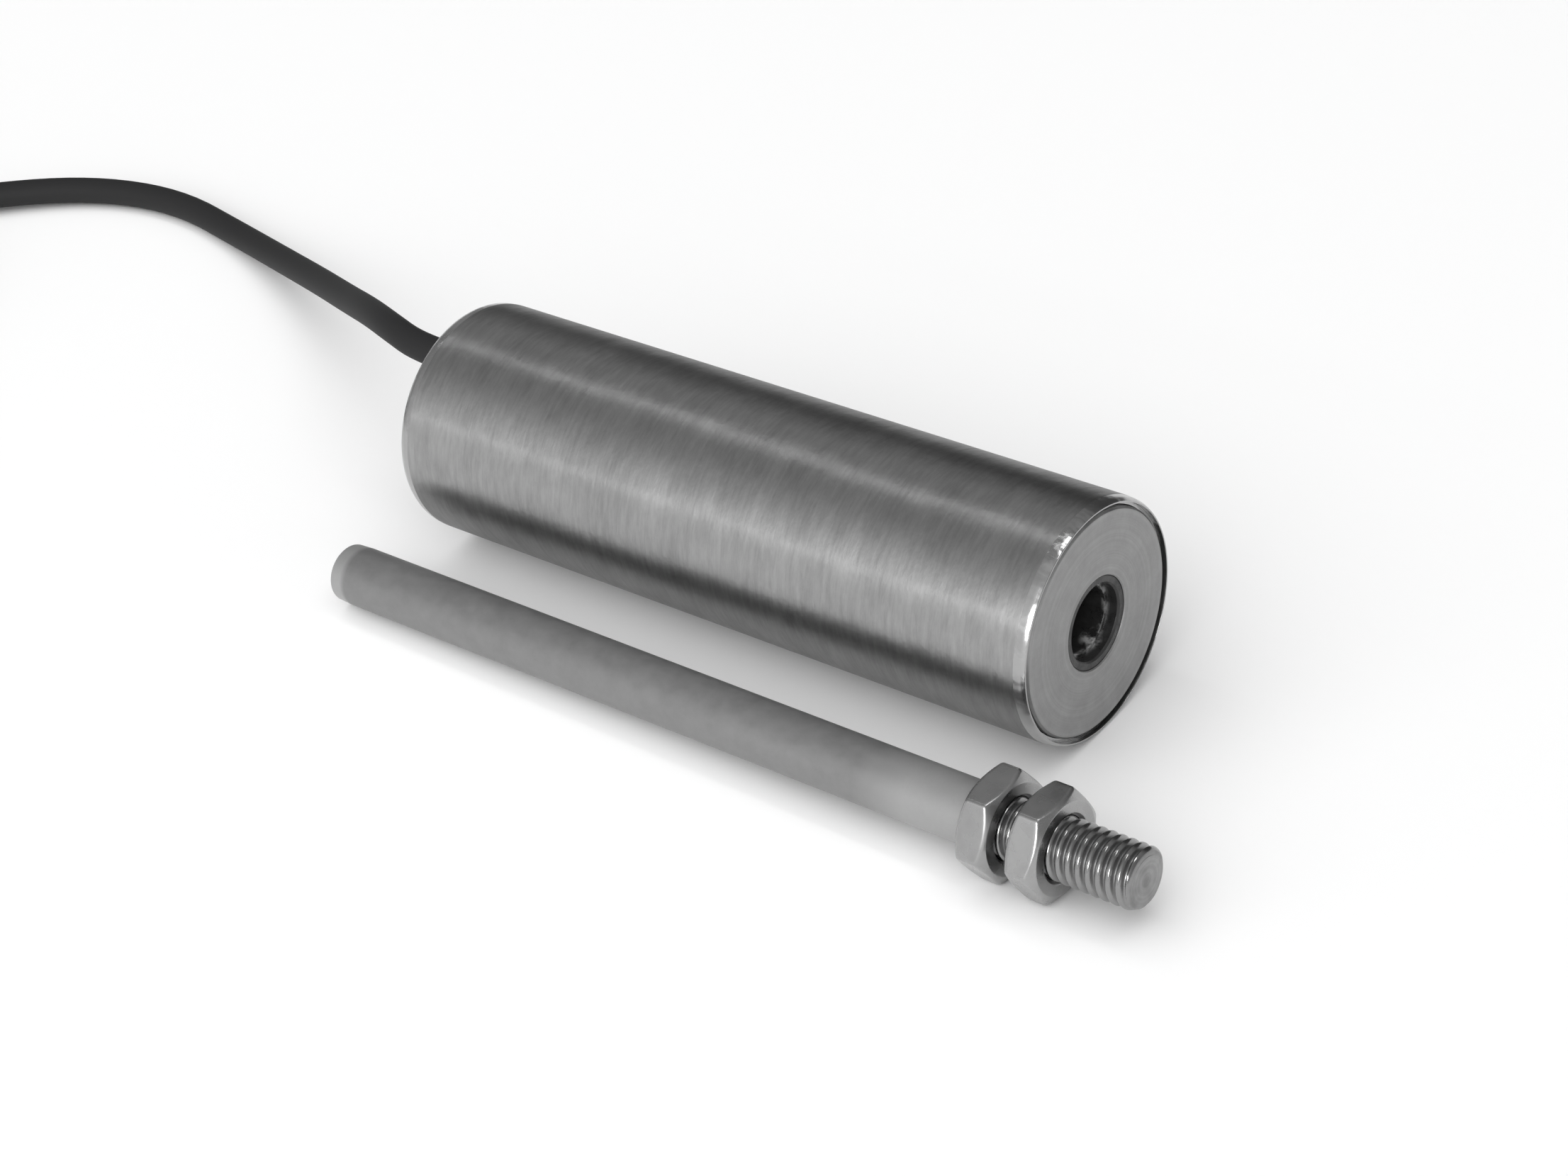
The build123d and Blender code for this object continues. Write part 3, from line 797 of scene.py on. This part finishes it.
thread_roughness = add_node(
    tree,
    "ShaderNodeMix",
    {
        0: nut_share.outputs[0],
        2: crest_roughness.outputs[0],
        3: tumbled_roughness.outputs[0],
    },
)
stud_roughness = add_node(
    tree, "ShaderNodeMix", {0: face_share.outputs[0], 2: thread_roughness.outputs[0], 3: 0.5}
)
tree.links.new(stud_roughness.outputs[0], shader.inputs["Roughness"])
tumbled_bump = add_node(
    tree, "ShaderNodeBump", {"Strength": 0.1, "Distance": 0.00004, "Height": tumbled.outputs[0]}
)
tree.links.new(tumbled_bump.outputs[0], shader.inputs["Normal"])


def rolled_thread(major, pitch, start, end, end_rounding, angle):
    """Outline of a right-hand thread at each angle: at length s and angle a the radius is the
    major radius less the depth times (0.5 + 0.5 cos(2 pi phase)) to the power 1.4, so crests
    are broad and roots narrow. The phase is (s - crest_place) / pitch - (a - crest_angle) / one
    turn + 0.5, and the arc that rounds the end limits the radius."""
    crest_place, crest_angle, depth, steps_per_turn = 124.44, radians(144), 0.46 * pitch, 20
    along = np.linspace(start, end, int((end - start) / pitch * steps_per_turn) + 1)[:, None]
    phase = (along - crest_place) / pitch - (angle - crest_angle) / (2 * np.pi) + 0.5
    groove = (0.5 + 0.5 * np.cos(2 * np.pi * phase)) ** 1.4
    into_end = np.clip(1 - (end - along) / end_rounding, 0, 1)
    arc = major - end_rounding * (1 - np.sqrt(1 - into_end**2))
    radius = np.minimum(major - depth * groove, arc)
    return np.stack([along + 0 * angle, radius], axis=-1)


stud_angle = full_turn(128)
thread_outline = rolled_thread(
    major=3.97, pitch=1.411, start=107.4, end=130.2, end_rounding=0.9, angle=stud_angle
)
# The end's face, slightly hollow in the middle: the place along the core, and the share of the
# radius of the thread's last ring
face_rings = np.array(
    [(130.24, 0.985), (130.25, 0.95), (130.25, 0.55), (130.22, 0.42), (130.15, 0.2), (130.14, 0.0)]
)
face_outline = np.stack(
    [
        face_rings[:, :1] + 0 * stud_angle,
        face_rings[:, 1:] * thread_outline[-1, :, 1],
    ],
    axis=-1,
)
# The plain shank in the rod, 5 mm across
shank_rings = np.array([(95.4, 0.0), (95.4, 2.5), (107.4, 2.5)])
shank_outline = shank_rings[:, None] + 0 * face_outline[:3]
stud = grid_piece(
    "rolled_thread_stud",
    turned(
        np.concatenate([shank_outline, thread_outline, face_outline]),
        core_end,
        core_direction,
        stud_angle,
    ),
    False,
    polished_steel,
    "core",
)
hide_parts("threaded_stud")


def nut_outline(start, from_corner):
    """Outline of a nut at each angle from a corner, and how far it reaches: half the width over
    the cosine of the angle from the flat's middle, or nearer to the corner the arc of 0.6 mm
    around a centre on the corner's own line, centre cos a + square root of (arc^2 - (centre
    sin a)^2). The cone that cuts the corners back falls 30 degrees from the face."""
    half_width, thickness, bore, face, corner_arc = 6.35, 4.4, 4.02, 5.842, 0.6
    nearest = np.abs((from_corner + np.pi / 6) % (np.pi / 3) - np.pi / 6)
    centre = (half_width - corner_arc) / np.cos(np.pi / 6)
    on_arc = centre * np.cos(nearest) + np.sqrt(
        np.maximum(corner_arc**2 - (centre * np.sin(nearest)) ** 2, 0)
    )
    on_flat = half_width / np.cos(np.pi / 6 - nearest)
    tangent = np.pi / 6 - np.arctan((half_width - corner_arc) * np.tan(np.pi / 6) / half_width)
    reach = np.where(nearest < tangent, on_arc, on_flat)
    drop = (reach - face) * np.tan(np.pi / 6)
    corners = [
        (0.4, bore, 0.05),
        (0.0, bore + 0.4, 0.06),
        (0.0, face, 0.08),
        (drop, reach, 0.4),
        (thickness - drop, reach, 0.4),
        (thickness, face, 0.08),
        (thickness, bore + 0.4, 0.06),
        (thickness - 0.4, bore, 0.05),
    ]
    corners = [[value + 0 * nearest for value in corner] for corner in corners]
    outline = rounded(np.moveaxis(np.array(corners), 1, -1))
    outline[..., 0] += start
    return outline


# Angles from one corner to the next, in degrees: five on the corner's arc, then every 1.5
half_side = np.concatenate([np.linspace(0, 2.4, 5), np.linspace(2.4, 30, 19)[1:]])
one_side = np.concatenate([half_side, 60 - half_side[-2:0:-1]])
from_corner = np.radians((one_side + 60 * np.arange(6)[:, None]).ravel())
# Each nut's place on the core in millimetres, and how far it is turned in degrees
nut_places = {"inner_nut": (107.4, 2.5), "outer_nut": (114.53, -2.5)}
for name, (start, twist) in nut_places.items():
    nut = grid_piece(
        "tumbled_" + name,
        turned(
            nut_outline(start, from_corner),
            core_end,
            core_direction,
            from_corner + radians(twist),
        ),
        True,
        polished_steel,
        "core",
    )
    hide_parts(name)

# Everything sealed inside the housing, and the grommet, clamp, tie and loose ends of the cable:
# moulded plastics and rubber, enamelled copper, laminate and tinned ends. Each finish has its
# colour, metallic share, roughness and the pieces that wear it.
inner_finishes = {
    "moulded_black_rubber": ("#1B1B1B", 0.0, 0.6, ["liner_seal_ring", "cable_grommet"]),
    "glass_filled_nylon": ("#2E2D2B", 0.0, 0.5, ["coil_former", "front_carrier", "rear_carrier"]),
    "enamelled_copper_wire": ("#A4552B", 1.0, 0.3, ["rear_winding", "front_winding", "coil_leads"]),
    "rolled_nickel_iron": ("#9A9892", 1.0, 0.35, ["shield_sleeve"]),
    "green_solder_resist": ("#1D5A37", 0.0, 0.3, ["circuit_board"]),
    "black_moulded_epoxy": ("#1C1C1C", 0.0, 0.5, ["signal_chip", "voltage_regulator"]),
    "glazed_ceramic": ("#8E7350", 0.0, 0.4, ["board_capacitors", "board_resistors"]),
    "extruded_wire_insulation": ("#3A3A3A", 0.0, 0.4, ["supply_wires", "lead_wires"]),
    "crimped_brass": ("#B89A5E", 1.0, 0.3, ["cable_clamp"]),
    "black_nylon_tie": ("#202020", 0.0, 0.6, ["cable_tie"]),
    "tinned_copper_strands": ("#B9B9B6", 1.0, 0.3, ["lead_tips"]),
}
for name, (colour, metallic, roughness_value, members) in inner_finishes.items():
    finish, tree, shader = new_finish(
        name, Base_Color=linear(colour), Metallic=metallic, Roughness=roughness_value
    )
    place = add_node(tree, "ShaderNodeTexCoord").outputs["Object"]
    texture = add_node(
        tree, "ShaderNodeTexNoise", {"Vector": place, "Scale": 2000.0, "Detail": 3.0}
    )
    texture_bump = add_node(
        tree, "ShaderNodeBump", {"Strength": 0.2, "Distance": 0.00003, "Height": texture.outputs[0]}
    )
    tree.links.new(texture_bump.outputs[0], shader.inputs["Normal"])
    for member in members:
        nodes[member].data.materials.clear()
        nodes[member].data.materials.append(finish)

# Floor: a matt white table of plain board, wide enough to have no edge in any view. The housing,
# the core and the cable lie on it.
white_table, tree, shader = new_finish(
    "matt_white_table", Base_Color=(0.92, 0.92, 0.92, 1.0), Roughness=0.9
)
# The table's top lies one housing's radius below the axis
table_height = -0.015875
floor_mesh = bpy.data.meshes.new("table_top")
floor_corners = np.array([(-3, -3, 0), (3, -3, 0), (3, 3, 0), (-3, 3, 0)], float)
floor_corners[:, 2] = table_height
floor_mesh.from_pydata(floor_corners, [], [(0, 1, 2, 3)])
floor_mesh.materials.append(white_table)
floor = bpy.data.objects.new("table_top", floor_mesh)
bpy.context.scene.collection.objects.link(floor)

# Studio light: a wide soft source overhead for the table, walls that are brighter towards the
# camera than behind the object, two small lamps for the sparkle on thread and nuts, and two long
# strips that draw the bright lines along the housing.
scene = bpy.context.scene
scene.view_settings.view_transform = "Standard"
studio = bpy.data.worlds.new("studio")
studio.use_nodes = True
scene.world = studio
tree = studio.node_tree
heading = add_node(tree, "ShaderNodeTexCoord").outputs["Generated"]
parts = add_node(tree, "ShaderNodeSeparateXYZ", {0: heading})
towards_back = add_node(
    tree, "ShaderNodeMapRange", {"Value": parts.outputs["Y"], "From Min": -1.0, "From Max": 1.0}
)
walls = add_node(tree, "ShaderNodeValToRGB", {"Fac": towards_back.outputs[0]})
# How bright the walls are from the front, at 0, to the back, at 1
wall_stops = [
    (0.0, 0.9),
    (0.084, 0.95),
    (0.117, 0.96),
    (0.15, 0.91),
    (0.215, 0.7),
    (0.31, 0.53),
    (0.4, 0.39),
    (0.5, 0.35),
    (0.64, 0.3),
    (0.78, 0.4),
    (0.87, 0.24),
    (0.915, 0.08),
    (1.0, 0.08),
]
ramp = walls.color_ramp
for stop, (stop_place, level) in enumerate(wall_stops):
    if stop < 2:
        element = ramp.elements[stop]
        element.position = stop_place
    else:
        element = ramp.elements.new(stop_place)
    element.color = (level, level, level, 1.0)
background = tree.nodes["Background"]
tree.links.new(walls.outputs[0], background.inputs["Color"])
background.inputs["Strength"].default_value = 1.0


def softbox(name, direction, distance, width, height, power):
    """An area light at that distance from the object in that direction, facing it, in metres
    and watts."""
    lamp = bpy.data.lights.new(name, "AREA")
    lamp.shape = "RECTANGLE"
    lamp.size, lamp.size_y, lamp.energy = width, height, power
    away = np.array(direction, float) / np.linalg.norm(direction)
    side = np.cross((0.0, 1.0, 0.0), away)
    side /= np.linalg.norm(side)
    facing = np.eye(4)
    facing[:3, 0], facing[:3, 1], facing[:3, 2] = side, np.cross(away, side), away
    facing[:3, 3] = away * distance
    light = bpy.data.objects.new(name, lamp)
    light.matrix_world = Matrix(facing.tolist())
    scene.collection.objects.link(light)
    return light


overhead = softbox(
    "overhead_softbox", (0.0, -0.35, 0.94), distance=1.7, width=3.2, height=3.2, power=39.0
)
overhead.visible_glossy = False
key = softbox(
    "front_key", (0.42, -0.8, 0.433), distance=1.1, width=0.34, height=0.34, power=5.5
)
key.visible_diffuse = False
top_key = softbox(
    "top_key", (0.43, 0.14, 0.895), distance=1.2, width=0.3, height=0.3, power=1.4
)
top_key.visible_diffuse = False
softbox(
    "rear_strip", (-0.1, 0.21, 0.973), distance=1.02, width=1.9, height=0.035, power=0.75
)
softbox(
    "front_strip", (0.0, -0.9226, 0.3859), distance=1.02, width=1.9, height=0.035, power=0.45
)

# Camera: a lens of 78.8 mm on a 36 mm frame, 0.44 m from the object, looking down on the
# housing's open end from the front right.
camera_data = bpy.data.cameras.new("camera")
camera_data.sensor_fit = "HORIZONTAL"
camera_data.sensor_width = 36.0
camera_data.lens = 78.83
camera_data.clip_start = 0.01
camera = bpy.data.objects.new("camera", camera_data)
right = np.array([0.78412, 0.60544, -0.13638])
up = np.array([-0.27798, 0.53911, 0.79504])
stance = np.eye(4)
stance[:3, 0], stance[:3, 1], stance[:3, 2] = right, up, np.cross(right, up)
stance[:3, 3] = (0.25001, -0.26355, 0.25382)
camera.matrix_world = Matrix(stance.tolist())
scene.collection.objects.link(camera)
scene.camera = camera
